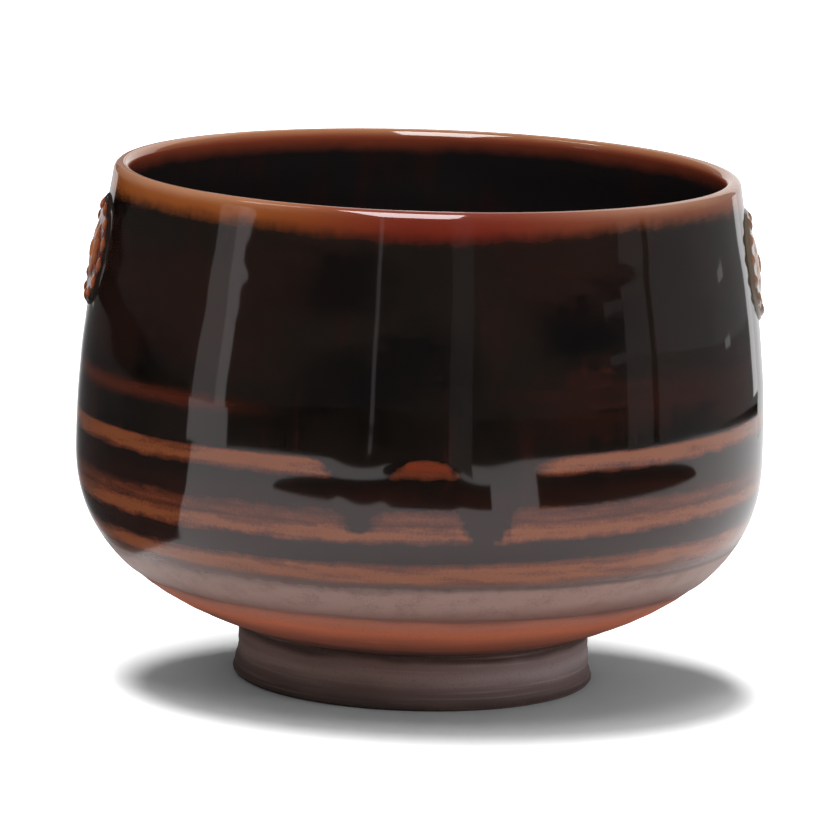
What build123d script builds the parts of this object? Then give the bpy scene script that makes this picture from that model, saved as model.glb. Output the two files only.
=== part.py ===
"""Glazed stoneware tea bowl of the half-cylinder form, in millimetres.

+Z is up, and the origin is the middle of the foot, on the surface that the bowl stands on. The front is
at -Y. The clay is thrown and trimmed; the foot ring and two pressed medallions are luted on; one glaze
coat covers the outside down to the glaze line, and a liner coat covers the inside. The two coats meet on
the crest of the lip.
"""
from build123d import *
from math import asin, cos, degrees, pi, radians, sin, sqrt
import os

os.makedirs("parts", exist_ok=True)

# ---------------------------------------------------------------- driving dimensions
# Outside of the thrown body, measured on the bare clay
bowl_height = 87.6          # from the table to the crest of the clay lip
belly_radius = 58.65        # at its widest
belly_height = 40.7         # height of the widest place
rim_radius = 53.2           # where the wall runs into the lip
lip_thickness = 2.3
wall_lean = 8.2             # degrees that the wall leans in where it meets the lip
haunch_slope = 17.5         # degrees that the haunch rises as it leaves the foot
haunch_fullness = 1.06      # each fullness is a curve handle's share of the run that it shapes
belly_fullness = 0.21
shoulder_fullness = 0.475
neck_fullness = 0.24

# Inside of the thrown body
wall_thickness = 4.2        # at the belly
inner_belly_lift = 5.0      # the inside is widest this much higher than the outside
inner_belly_fullness = 0.6
floor_fullness = 0.88
floor_thickness = 6.0       # over the middle of the foot, beside the tea pool
pool_radius = 15.0          # the shallow pool in the floor
pool_depth = 1.3

# Foot ring
foot_height = 9.5
foot_base_radius = 31.0     # outside, at the table
foot_waist_radius = 30.2    # outside, under the body
foot_hollow = 0.3           # how far the outside is turned in between the two
foot_wall = 5.6             # thickness of the ring under the body
foot_draft = 0.8            # the inside opens this much towards the table
foot_edge_round = 0.7
recess_dome = 0.9           # the trimmed underside rises this much towards the middle
tokin_radius = 3.2          # the small cone that the trimming tool leaves in the middle
tokin_height = 1.2

# Glaze
glaze_thickness = 0.4
glaze_line_height = 19.1    # lower edge of the outer coat

# Medallions, pressed in one mould: a pad with a border of beads round a flower on a low dome
medallion_radius = 9.8
medallion_drop = 14.4       # from the crest of the clay lip down to the middle, on the wall
medallion_bearing = 86.0    # degrees from the front, to each side
pad_thickness = 0.6         # over the body
bead_count = 14
bead_radius = 1.5
bead_relief = 0.75
bead_margin = 0.35          # bare pad on each side of the ring of beads
dome_rise = 0.8
petal_count = 10
petal_relief = 0.3
petal_gap = 0.3             # between petals, and at their ends
heart_radius = 1.6
heart_relief = 0.45

# ---------------------------------------------------------------- places that follow from them
lip_radius = lip_thickness / 2
lip_middle = Vector(rim_radius - lip_radius * cos(radians(wall_lean)), bowl_height - lip_radius)
lip_outward = Vector(1, 0).rotate(Axis.Z, wall_lean)       # square to the wall where it meets the lip
lip_downward = Vector(0, -1).rotate(Axis.Z, wall_lean)     # down along the wall there
inner_belly_radius = belly_radius - wall_thickness
inner_belly_height = belly_height + inner_belly_lift
recess_height = foot_height + recess_dome
tokin_tip = Vector(0, recess_height - tokin_height)
floor_height = recess_height + floor_thickness
foot_inner_radius = foot_waist_radius - foot_wall


# ---------------------------------------------------------------- outlines, drawn as (radius, height)
def outer_wall(coat=0):
    """Draw the outside from the foot to the lip, a coat's thickness outside the clay."""
    foot = Vector(foot_waist_radius, foot_height - coat)
    belly = Vector(belly_radius + coat, belly_height)
    rim = lip_middle + lip_outward * (lip_radius + coat)
    haunch_reach = Vector(haunch_fullness * (belly.X - foot.X), 0).rotate(Axis.Z, haunch_slope)
    belly_reach = Vector(0, belly_fullness * (belly.Y - foot.Y))
    shoulder_reach = Vector(0, shoulder_fullness * (rim.Y - belly.Y))
    neck_reach = lip_downward * (neck_fullness * (rim.Y - belly.Y))
    Bezier(foot, foot + haunch_reach, belly - belly_reach, belly)
    return Bezier(belly, belly + shoulder_reach, rim + neck_reach, rim)


def outer_lip(coat=0):
    """Draw the outer part of the round lip, from the crest down to the outside wall."""
    return JernArc(lip_middle + Vector(0, lip_radius + coat), (1, 0), lip_radius + coat, wall_lean - 90)


def inner_lip(coat=0):
    """Draw the inner part of the round lip, from the crest down to the inside wall."""
    return JernArc(lip_middle + Vector(0, lip_radius + coat), (-1, 0), lip_radius + coat, wall_lean + 90)


def inner_wall(coat=0):
    """Draw the inside from the lip down to the middle of the tea pool, a coat's thickness inside the clay."""
    rim = lip_middle - lip_outward * (lip_radius + coat)
    belly = Vector(inner_belly_radius - coat, inner_belly_height)
    pool_edge = Vector(pool_radius, floor_height + coat)
    pool_middle = Vector(0, floor_height - pool_depth + coat)
    neck_reach = lip_downward * (neck_fullness * (rim.Y - belly.Y))
    shoulder_reach = Vector(0, shoulder_fullness * (rim.Y - belly.Y))
    belly_reach = Vector(0, inner_belly_fullness * (belly.Y - pool_edge.Y))
    floor_reach = Vector(floor_fullness * (belly.X - pool_edge.X), 0)
    pool_reach = Vector(pool_radius / 2, 0)
    Bezier(rim, rim + neck_reach, belly + shoulder_reach, belly)
    Bezier(belly, belly - belly_reach, pool_edge + floor_reach, pool_edge)
    return Bezier(pool_edge, pool_edge - pool_reach, pool_middle + pool_reach, pool_middle)


def underside():
    """Draw the trimmed underside from the tokin's tip to the outside of the foot's seat."""
    tokin_foot = Vector(tokin_radius, recess_height)
    tokin_reach = Vector(tokin_radius / 2, 0)
    Bezier(tokin_tip, tokin_tip + tokin_reach, tokin_foot - tokin_reach, tokin_foot)
    recess = TangentArc(tokin_foot, (foot_inner_radius, foot_height), tangent=(1, 0))
    Line(recess @ 1, (foot_waist_radius, foot_height))


# ---------------------------------------------------------------- thrown body and foot ring
with BuildPart() as clay_bowl:
    with BuildSketch(Plane.XZ):
        with BuildLine():
            underside()
            outer_wall()
            outer_lip()
            inner_lip()
            inside = inner_wall()
            Line(inside @ 1, tokin_tip)
        make_face()
    revolve(axis=Axis.Z)

clay_bowl.part.label = "clay_bowl"
export_step(clay_bowl.part, "parts/clay_bowl.step")

with BuildPart() as foot_ring:
    with BuildSketch(Plane.XZ):
        with BuildLine():
            waist = (foot_waist_radius, foot_height)
            base = (foot_base_radius, 0)
            turned_in = ((foot_waist_radius + foot_base_radius) / 2 - foot_hollow, foot_height / 2)
            ThreePointArc(waist, turned_in, base)
            Polyline(base, (foot_inner_radius + foot_draft, 0), (foot_inner_radius, foot_height), waist)
        make_face()
    revolve(axis=Axis.Z)
    fillet(foot_ring.faces().sort_by(Axis.Z)[0].edges(), foot_edge_round)

foot_ring.part.label = "foot_ring"
export_step(foot_ring.part, "parts/foot_ring.step")

# ---------------------------------------------------------------- places of the medallions on the wall
with BuildLine() as wall_line:
    wall = outer_wall()
    reach = IntersectingLine((0, bowl_height - medallion_drop), (1, 0), wall)

seat = reach @ 1
wall_rise = wall.tangent_at(wall.param_at_point(seat))
seat_depth = medallion_radius**2 / seat.X                  # twice what the wall drops away under the pad


def medallion_plane(bearing):
    """Return the plane that touches the wall at a medallion's middle, with Z outward and Y up the wall."""
    away = Vector(0, -1, 0).rotate(Axis.Z, bearing)
    middle = away * seat.X + Vector(0, 0, seat.Y)
    outward = away * wall_rise.Y - Vector(0, 0, wall_rise.X)
    return Plane(middle, x_dir=away.rotate(Axis.Z, 90), z_dir=outward)


medallion_planes = {
    "left": medallion_plane(-medallion_bearing),
    "right": medallion_plane(medallion_bearing),
}

# ---------------------------------------------------------------- glaze coats
with BuildPart() as outer_glaze:
    with BuildSketch(Plane.XZ):
        with BuildLine():
            outer_wall(glaze_thickness)
            glaze_lip = outer_lip(glaze_thickness)
            outer_wall()
            clay_lip = outer_lip()
            Line(glaze_lip @ 0, clay_lip @ 0)
            Line((foot_waist_radius, foot_height), (foot_waist_radius, foot_height - glaze_thickness))
        make_face()
    revolve(axis=Axis.Z)
    split(bisect_by=Plane.XY.offset(glaze_line_height), keep=Keep.TOP)
    for plane in medallion_planes.values():
        with BuildSketch(plane.offset(-seat_depth)):
            Circle(medallion_radius)
        extrude(amount=2 * seat_depth, mode=Mode.SUBTRACT)

outer_glaze.part.label = "outer_glaze"
export_step(outer_glaze.part, "parts/outer_glaze.step")

with BuildPart() as inner_glaze:
    with BuildSketch(Plane.XZ):
        with BuildLine():
            glaze_lip = inner_lip(glaze_thickness)
            glaze_inside = inner_wall(glaze_thickness)
            clay_lip = inner_lip()
            clay_inside = inner_wall()
            Line(glaze_lip @ 0, clay_lip @ 0)
            Line(glaze_inside @ 1, clay_inside @ 1)
        make_face()
    revolve(axis=Axis.Z)

inner_glaze.part.label = "inner_glaze"
export_step(inner_glaze.part, "parts/inner_glaze.step")

# ---------------------------------------------------------------- medallions
bead_circle_radius = medallion_radius - bead_margin - bead_radius
dome_radius = bead_circle_radius - bead_radius - bead_margin
dome_sphere_radius = (dome_radius**2 + dome_rise**2) / (2 * dome_rise)
dome_middle = pad_thickness + dome_rise - dome_sphere_radius    # the sphere's centre, over the wall
petal_length = dome_radius - heart_radius - 2 * petal_gap
petal_place = heart_radius + petal_gap + petal_length / 2       # from the medallion's middle
petal_width = 2 * pi * petal_place / petal_count - petal_gap
petal_tilt = degrees(asin(petal_place / dome_sphere_radius))
petal_lift = dome_sphere_radius + petal_relief - petal_width / 2
heart_lift = dome_sphere_radius + heart_relief - heart_radius


def bead_place(turn):
    """Return where a bead sits on the pad, lowered as far as the wall drops away there."""
    across = bead_circle_radius * cos(radians(turn))
    along = bead_circle_radius * sin(radians(turn))
    wall_drop = seat.X - sqrt(seat.X**2 - across**2)
    return (across, along, pad_thickness + bead_relief - bead_radius - wall_drop)


with BuildPart() as petal:
    with BuildSketch(Plane.XY.offset(petal_lift)):
        Ellipse(petal_length / 2, petal_width / 2)
        Rectangle(petal_length, petal_width, align=(Align.CENTER, Align.MAX), mode=Mode.SUBTRACT)
    revolve(axis=Axis((0, 0, petal_lift), (1, 0, 0)))

with BuildPart() as flower:
    with Locations((0, 0, dome_middle)):
        Sphere(dome_sphere_radius)
    Cylinder(dome_radius + bead_margin, 2 * dome_radius, mode=Mode.INTERSECT)
    with Locations((0, 0, dome_middle)):
        with PolarLocations(0, petal_count):
            with Locations(Rotation(0, petal_tilt, 0)):
                add(petal.part)
    with Locations((0, 0, dome_middle + heart_lift)):
        Sphere(heart_radius)


def filled_body(coat=0):
    """Return the body with no hollow in it, a coat's thickness outside the clay."""
    with BuildPart() as filled:
        with BuildSketch(Plane.XZ):
            with BuildLine():
                outer_wall(coat)
                crest = outer_lip(coat) @ 0
                foot = Vector(foot_waist_radius, foot_height - coat)
                Polyline(crest, (0, crest.Y), (0, foot.Y), foot)
            make_face()
        revolve(axis=Axis.Z)
    return filled.part


clay_filled = filled_body()
pad_filled = filled_body(pad_thickness)

for side, plane in medallion_planes.items():
    with BuildPart() as medallion:
        with BuildSketch(plane.offset(-seat_depth)):
            Circle(medallion_radius)
        extrude(amount=2 * seat_depth)
        add(pad_filled, mode=Mode.INTERSECT)
        with Locations(plane):
            add(flower.part)
            for bead in range(bead_count):
                with Locations(bead_place(360 * (bead + 0.5) / bead_count)):
                    Sphere(bead_radius)
        add(clay_filled, mode=Mode.SUBTRACT)
    medallion.part.label = f"medallion_{side}"
    export_step(medallion.part, f"parts/medallion_{side}.step")
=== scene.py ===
"""Tea bowl in brown-black iron glaze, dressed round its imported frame, in metres.

The bowl stands on the floor at the origin with +Z up. A bearing is an angle round that axis, from the front
(-Y) and positive towards +X. The finishes, the cards and the arcs take bearings in degrees, and the finishes
take heights in millimetres. A coat is a thickness outside the clay.
"""

from __future__ import annotations

import logging
import math
from dataclasses import dataclass, field
from enum import Enum
from typing import Callable

import bpy
import numpy as np
from mathutils import Matrix, Vector


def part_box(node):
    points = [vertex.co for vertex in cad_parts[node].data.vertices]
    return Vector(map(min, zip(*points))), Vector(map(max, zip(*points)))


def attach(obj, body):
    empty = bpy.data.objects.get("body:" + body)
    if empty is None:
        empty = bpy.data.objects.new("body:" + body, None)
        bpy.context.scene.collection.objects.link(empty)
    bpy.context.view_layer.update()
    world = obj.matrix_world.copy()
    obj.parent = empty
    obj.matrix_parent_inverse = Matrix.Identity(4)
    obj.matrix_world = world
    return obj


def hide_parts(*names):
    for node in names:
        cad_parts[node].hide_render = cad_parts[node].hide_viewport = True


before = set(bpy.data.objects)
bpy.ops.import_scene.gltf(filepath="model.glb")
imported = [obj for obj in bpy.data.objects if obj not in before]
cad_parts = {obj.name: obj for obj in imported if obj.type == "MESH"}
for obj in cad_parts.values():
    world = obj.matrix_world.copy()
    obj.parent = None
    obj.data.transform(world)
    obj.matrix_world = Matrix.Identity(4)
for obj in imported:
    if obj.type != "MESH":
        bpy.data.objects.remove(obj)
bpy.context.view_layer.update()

MM = 0.001
TINY = 1e-9                 # a length too small to matter, such as the radius of a point on the bowl's axis
TUCK_SINK = 0.12 * MM       # how fast a coat sinks under the other one beyond the crest of the lip
DRIP_ROUNDNESS = 0.4        # the power of the way up a run that its width follows
FULL_DRIP = 8.0             # the length in millimetres from which a run stands out in full
TIP_RISE = (-0.5, 0.7)      # from where to where a run's tip grows opaque, in millimetres over the tip
SHOULDER_FROM = 44.8        # the height in millimetres where a run's shoulders start to widen
SHOULDER_RISE = 3.4         # how far over that they have their full width, in millimetres
SHOULDER = 4.5              # how much wider a run is there on each side, in degrees
ABOVE = 99.0                # a height in millimetres over the lip, for a band with no upper edge
BELOW = -9.0                # a height in millimetres under the foot, for a band with no lower edge
log = logging.getLogger("tea_bowl")

Relief = Callable[[np.ndarray, np.ndarray], np.ndarray]
Pair = tuple[float, float]
Faces = list[tuple[int, ...]]
Socket = bpy.types.NodeSocket


# ------------------------------------------------------------------------------- the bowl's form
def bezier(ends: list[Pair], count: int = 160) -> np.ndarray:
    """Sample a cubic curve.

    Args:
        ends: The start, its handle, the end's handle and the end, each a (radius, height).
        count: How many points to sample.

    Returns:
        The sampled (radius, height) points.
    """
    start, near, far, end = (np.array(point) for point in ends)
    t = np.linspace(0.0, 1.0, count)[:, None]
    s = 1.0 - t
    return s**3 * start + 3 * s**2 * t * near + 3 * s * t**2 * far + t**3 * end


def evenly(path: np.ndarray, step: float) -> np.ndarray:
    """Space a path's points evenly.

    Args:
        path: Points along the path.
        step: The distance wanted between neighbours.

    Returns:
        The respaced points, ends kept.
    """
    runs = np.hypot(*np.diff(path, axis=0).T)
    along = np.concatenate([[0.0], np.cumsum(runs)])
    at = np.linspace(0.0, along[-1], max(3, round(along[-1] / step) + 1))
    return np.column_stack([np.interp(at, along, path[:, 0]), np.interp(at, along, path[:, 1])])


def eased(value: np.ndarray, low: float, high: float) -> np.ndarray:
    """Ease from 0 where a value is at low to 1 where it is at high."""
    share = np.clip((value - low) / (high - low), 0.0, 1.0)
    return share * share * (3 - 2 * share)


def rounded(share: np.ndarray) -> np.ndarray:
    """Rise along a quarter circle as a share goes from 0 to 1."""
    return np.sqrt(1 - (1 - np.clip(share, 0.0, 1.0)) ** 2)


@dataclass(frozen=True)
class Outline:
    """The section of the thrown body, with the sizes that the frame gives and the curves' fullness."""

    bowl_height: float
    belly_radius: float
    foot_height: float
    glaze_line: float
    inner_belly_radius: float
    pool_height: float
    belly_height: float = 40.7 * MM
    rim_radius: float = 53.2 * MM
    lip_radius: float = 1.15 * MM
    wall_lean: float = math.radians(8.2)
    foot_waist_radius: float = 30.2 * MM
    haunch_slope: float = math.radians(17.5)
    haunch_fullness: float = 1.06
    belly_fullness: float = 0.21
    shoulder_fullness: float = 0.475
    neck_fullness: float = 0.24
    inner_belly_height: float = 45.7 * MM
    inner_belly_fullness: float = 0.6
    floor_fullness: float = 0.88
    pool_radius: float = 15.0 * MM
    pool_depth: float = 1.3 * MM
    lip_steps: int = 24
    tuck_steps: float = 16.0

    @classmethod
    def from_frame(cls) -> "Outline":
        """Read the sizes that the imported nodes' boxes give.

        Returns:
            The outline.
        """
        _, clay_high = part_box("clay_bowl")
        _, foot_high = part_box("foot_ring")
        coat_low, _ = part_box("outer_glaze")
        liner_low, liner_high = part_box("inner_glaze")
        return cls(
            bowl_height=clay_high.z,
            belly_radius=clay_high.x,
            foot_height=foot_high.z,
            glaze_line=coat_low.z,
            inner_belly_radius=liner_high.x,
            pool_height=liner_low.z,
        )

    @property
    def lip_middle(self) -> np.ndarray:
        """The (radius, height) of the middle of the round lip."""
        radius = self.rim_radius - self.lip_radius * math.cos(self.wall_lean)
        return np.array([radius, self.bowl_height - self.lip_radius])

    def lip(self, coat: float, inside: bool, tuck: float = 0.0) -> np.ndarray:
        """Trace half of the round lip from its crest down.

        Args:
            coat: Thickness of the coat outside the clay.
            inside: Whether to go down the inside of the bowl.
            tuck: How far the coat starts beyond the crest, in radians, where it sinks under the other coat.

        Returns:
            Points from the crest, or from beyond it, to the wall.
        """
        way = 1.0 if inside else -1.0
        last = math.pi + self.wall_lean if inside else self.wall_lean
        turn = np.linspace(math.pi / 2 - way * tuck, last, self.lip_steps + round(self.tuck_steps * tuck))
        beyond = np.maximum(0.0, way * (math.pi / 2 - turn))
        reach = self.lip_radius + coat - TUCK_SINK * beyond**2
        return self.lip_middle + np.column_stack([reach * np.cos(turn), reach * np.sin(turn)])

    def wall(self, rim: np.ndarray, belly: Pair) -> np.ndarray:
        """Trace the wall from the lip down to the belly.

        Args:
            rim: The (radius, height) where the lip ends.
            belly: The (radius, height) of the belly.

        Returns:
            The (radius, height) points.
        """
        rise = rim[1] - belly[1]
        neck = self.neck_fullness * rise
        return bezier([
            tuple(rim),
            (rim[0] + neck * math.sin(self.wall_lean), rim[1] - neck * math.cos(self.wall_lean)),
            (belly[0], belly[1] + self.shoulder_fullness * rise),
            belly,
        ])

    def outside(self, coat: float, tuck: float = 0.0) -> np.ndarray:
        """Trace the outside from the crest of the lip down to the foot.

        Args:
            coat: Thickness of the coat outside the clay.
            tuck: How far the coat starts beyond the crest, in radians.

        Returns:
            The (radius, height) points.
        """
        arc = self.lip(coat, inside=False, tuck=tuck)
        belly = (self.belly_radius + coat, self.belly_height)
        foot = (self.foot_waist_radius, self.foot_height - coat)
        reach = self.haunch_fullness * (belly[0] - foot[0])
        haunch = bezier([
            belly,
            (belly[0], belly[1] - self.belly_fullness * (belly[1] - foot[1])),
            (foot[0] + reach * math.cos(self.haunch_slope), foot[1] + reach * math.sin(self.haunch_slope)),
            foot,
        ])
        return np.vstack([arc, self.wall(arc[-1], belly)[1:], haunch[1:]])

    def inside(self, coat: float) -> np.ndarray:
        """Trace the inside from the crest of the lip down to the middle of the tea pool.

        Args:
            coat: Thickness of the coat outside the clay.

        Returns:
            The (radius, height) points.
        """
        arc = self.lip(coat, inside=True)
        belly = (self.inner_belly_radius - coat, self.inner_belly_height)
        edge = (self.pool_radius, self.pool_height + self.pool_depth + coat)
        middle = (0.0, self.pool_height + coat)
        floor = bezier([
            belly,
            (belly[0], belly[1] - self.inner_belly_fullness * (belly[1] - edge[1])),
            (edge[0] + self.floor_fullness * (belly[0] - edge[0]), edge[1]),
            edge,
        ])
        pool = bezier([edge, (edge[0] / 2, edge[1]), (edge[0] / 2, middle[1]), middle])
        return np.vstack([arc, self.wall(arc[-1], belly)[1:], floor[1:], pool[1:]])


# ------------------------------------------------------------------------------- meshes
def spots(radius: object, bearing: object, height: object) -> np.ndarray:
    """Return the places at given radii, bearings in radians and heights, which are numbers or arrays."""
    return np.stack(np.broadcast_arrays(radius * np.sin(bearing), -radius * np.cos(bearing), height), axis=-1)


def outward_normals(section: np.ndarray) -> np.ndarray:
    """Find the unit normals on the left of a section's direction of travel.

    Args:
        section: The (radius, height) points.

    Returns:
        A normal for each point.
    """
    along = np.gradient(section, axis=0)
    along /= np.maximum(np.linalg.norm(along, axis=1, keepdims=True), TINY)
    return np.column_stack([-along[:, 1], along[:, 0]])


def ring_faces(sides: int, rings: int, first: int = 0, closed: bool = False) -> Faces:
    """List the faces between rings of points that follow each other.

    Args:
        sides: How many points a ring has.
        rings: How many rings there are.
        first: The number of the first ring's first point.
        closed: Whether the last ring joins the first.

    Returns:
        The faces, as point numbers.
    """
    faces = []
    for ring in range(rings if closed else rings - 1):
        low = first + ring * sides
        high = first + (ring + 1) % rings * sides
        for step in range(sides):
            after = (step + 1) % sides
            faces.append((low + step, high + step, high + after, low + after))
    return faces


def fan_faces(middle: int, ring: int, sides: int, from_outside: bool = False) -> Faces:
    """List the faces that close a ring of points at a middle point, turned over where from_outside is set."""
    way = -1 if from_outside else 1
    return [(middle, *(ring + step, ring + (step + 1) % sides)[::way]) for step in range(sides)]


def sheet_faces(columns: int, rows: int) -> Faces:
    """List the faces of a sheet whose points go up one column after the other."""
    starts = [column * rows + row for column in range(columns - 1) for row in range(rows - 1)]
    return [(low, low + 1, low + rows + 1, low + rows) for low in starts]


def put(name: str, data: bpy.types.ID) -> bpy.types.Object:
    """Put an object in the scene.

    Args:
        name: The object's name.
        data: Its mesh, camera or light.

    Returns:
        The new object.
    """
    thing = bpy.data.objects.new(name, data)
    bpy.context.scene.collection.objects.link(thing)
    return thing


def new_piece(name: str, points: np.ndarray, faces: Faces) -> bpy.types.Object:
    """Make a smooth mesh object in the scene.

    Args:
        name: The piece's name.
        points: Its vertices.
        faces: Its faces, as vertex numbers.

    Returns:
        The new object.
    """
    mesh = bpy.data.meshes.new(name)
    mesh.from_pydata(points.tolist(), [], faces)
    mesh.validate()
    mesh.shade_smooth()
    return put(name, mesh)


def turned(name: str, section: np.ndarray, sides: int, relief: Relief) -> bpy.types.Object:
    """Turn a section round the bowl's axis into a closed mesh.

    Args:
        name: The piece's name.
        section: (radius, height) points, clockwise seen with the axis on the left. Where the first and last
            points lie on the axis the surface closes there, and otherwise the section is a loop.
        sides: How many steps go round.
        relief: How far the surface stands out at each (bearing, height), in radians and metres.

    Returns:
        The new object.
    """
    on_axis = section[0, 0] < TINY
    path = section if on_axis else np.vstack([section, section[:1]])
    kept = slice(1, -1) if on_axis else slice(0, -1)
    rings = path[kept]
    normals = outward_normals(path)[kept]
    around, heights = np.meshgrid(np.linspace(0.0, 2 * math.pi, sides, endpoint=False), rings[:, 1])
    lift = relief(around, heights)
    radii = rings[:, :1] + normals[:, :1] * lift
    levels = rings[:, 1:] + normals[:, 1:] * lift
    points = spots(radii, around, levels).reshape(-1, 3)
    faces = ring_faces(sides, len(rings), closed=not on_axis)
    if on_axis:
        count = len(points)
        points = np.vstack([points, [[0, 0, section[0, 1]], [0, 0, section[-1, 1]]]])
        faces += fan_faces(count, 0, sides) + fan_faces(count + 1, count - sides, sides, from_outside=True)
    return new_piece(name, points, faces)


# ------------------------------------------------------------------------------- shader tools
class NodeBench:
    """Places and joins nodes in one node tree."""

    def __init__(self, tree: bpy.types.NodeTree) -> None:
        """Take a tree to work on."""
        self.tree = tree

    def add(self, kind: str, inputs: dict | None = None, **settings: object) -> bpy.types.Node:
        """Add a node.

        Args:
            kind: The node's type name.
            inputs: Values or sockets for its inputs, by name or number.
            settings: The node's own settings.

        Returns:
            The new node.
        """
        node = self.tree.nodes.new(kind)
        for name, value in settings.items():
            setattr(node, name, value)
        for name, value in (inputs or {}).items():
            self.join(value, node.inputs[name])
        return node

    def join(self, value: object, socket: Socket) -> None:
        """Link a socket, or set a plain value, on an input socket.

        Args:
            value: The socket or the value.
            socket: The input socket.
        """
        if isinstance(value, Socket):
            self.tree.links.new(value, socket)
        else:
            socket.default_value = value

    def show(self, shader: bpy.types.Node, output: str = "ShaderNodeOutputMaterial") -> None:
        """Join a shader to a new output node's surface."""
        self.join(shader.outputs[0], self.add(output).inputs["Surface"])

    def math(self, operation: str, *values: object, clamp: bool = False) -> Socket:
        """Add a Math node and return its result."""
        node = self.add("ShaderNodeMath", dict(enumerate(values)), operation=operation, use_clamp=clamp)
        return node.outputs[0]

    def vector(self, operation: str, first: object, second: tuple[float, float, float]) -> Socket:
        """Add a Vector Math node and return its vector."""
        return self.add("ShaderNodeVectorMath", {0: first, 1: second}, operation=operation).outputs[0]

    def step(self, value: object, low: object, high: object) -> Socket:
        """Return a smooth step that goes from 0 where the value is at low to 1 where it is at high."""
        inputs = {"Value": value, "From Min": low, "From Max": high, "To Min": 0.0, "To Max": 1.0}
        return self.add("ShaderNodeMapRange", inputs, interpolation_type="SMOOTHSTEP").outputs["Result"]

    def mix(self, factor: object, first: object, second: object, blend: str = "MIX") -> Socket:
        """Mix two colours and return the result."""
        inputs = {0: factor, 6: first, 7: second}
        return self.add("ShaderNodeMix", data_type="RGBA", blend_type=blend, inputs=inputs).outputs[2]

    def blend(self, factor: object, first: object, second: object) -> Socket:
        """Mix two values and return the result."""
        return self.add("ShaderNodeMix", {0: factor, 2: first, 3: second}, data_type="FLOAT").outputs[0]

    def stretch(self, vector: object, sides: float, up: float) -> Socket:
        """Scale a place by one factor sideways and another upwards."""
        return self.vector("MULTIPLY", vector, (sides, sides, up))

    def noise(self, vector: object, detail: float = 3.0, roughness: float = 0.5) -> Socket:
        """Return a noise value around 0.5 at an already scaled place."""
        inputs = {"Vector": vector, "Scale": 1.0, "Detail": detail, "Roughness": roughness}
        return self.add("ShaderNodeTexNoise", inputs).outputs[0]

    def group(self, tree: bpy.types.NodeTree, inputs: dict | None = None) -> bpy.types.Node:
        """Place a node group with its own values."""
        return self.add("ShaderNodeGroup", inputs, node_tree=tree)


def bench_on(block: bpy.types.Material | bpy.types.World) -> NodeBench:
    """Empty a node tree.

    Args:
        block: The material or the world that has the tree.

    Returns:
        A bench on the tree.
    """
    block.use_nodes = True
    block.node_tree.nodes.clear()
    return NodeBench(block.node_tree)


def new_group(name: str, inputs: dict[str, object], outputs: tuple[str, ...]) -> tuple:
    """Start a shader node group whose inputs and outputs are values, or vectors where they are named Place.

    Args:
        name: The group's name.
        inputs: Each input's first value, by name.
        outputs: The outputs' names.

    Returns:
        The group's tree, a bench on it, its input sockets and its output node's sockets.
    """
    tree = bpy.data.node_groups.new(name, "ShaderNodeTree")
    for way, labels in (("INPUT", inputs), ("OUTPUT", outputs)):
        for label in labels:
            kind = "NodeSocketVector" if label == "Place" else "NodeSocketFloat"
            socket = tree.interface.new_socket(name=label, in_out=way, socket_type=kind)
            if way == "INPUT":
                socket.default_value = inputs[label]
    bench = NodeBench(tree)
    return tree, bench, bench.add("NodeGroupInput").outputs, bench.add("NodeGroupOutput").inputs


def place_group() -> bpy.types.NodeTree:
    """Make the group that gives the place on the bowl.

    Returns:
        The group, with the place and height in millimetres and the bearing in degrees.
    """
    tree, bench, _, out = new_group("bowl_place", {}, ("Place", "Height", "Bearing"))
    metres = bench.add("ShaderNodeTexCoord").outputs["Object"]
    place = bench.stretch(metres, 1 / MM, 1 / MM)
    parts = bench.add("ShaderNodeSeparateXYZ", {0: place}).outputs
    front = bench.math("MULTIPLY", parts["Y"], -1.0)
    turn = bench.math("ARCTAN2", parts["X"], front)
    bench.join(place, out["Place"])
    bench.join(parts["Z"], out["Height"])
    bench.join(bench.math("DEGREES", turn), out["Bearing"])
    return tree


def band_group() -> bpy.types.NodeTree:
    """Make the group that masks a level band with ragged edges.

    Returns:
        The group, with its inputs in millimetres.
    """
    inputs = dict.fromkeys(("Height", "Ragged", "Low", "High", "Low Rag", "High Rag"), 0.0)
    inputs |= dict.fromkeys(("Low Blur", "High Blur", "Strength"), 1.0)
    tree, bench, given, out = new_group("glaze_band", inputs, ("Mask",))
    edges = []
    for end in ("Low", "High"):
        level = bench.math("MULTIPLY_ADD", given["Ragged"], given[f"{end} Rag"], given["Height"])
        half = bench.math("MULTIPLY", given[f"{end} Blur"], 0.5)
        start = bench.math("SUBTRACT", given[end], half)
        edges.append(bench.step(level, start, bench.math("ADD", given[end], half)))
    over = bench.math("SUBTRACT", 1.0, edges[1])
    mask = bench.math("MULTIPLY", edges[0], over)
    bench.join(bench.math("MULTIPLY", mask, given["Strength"]), out["Mask"])
    return tree


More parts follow.
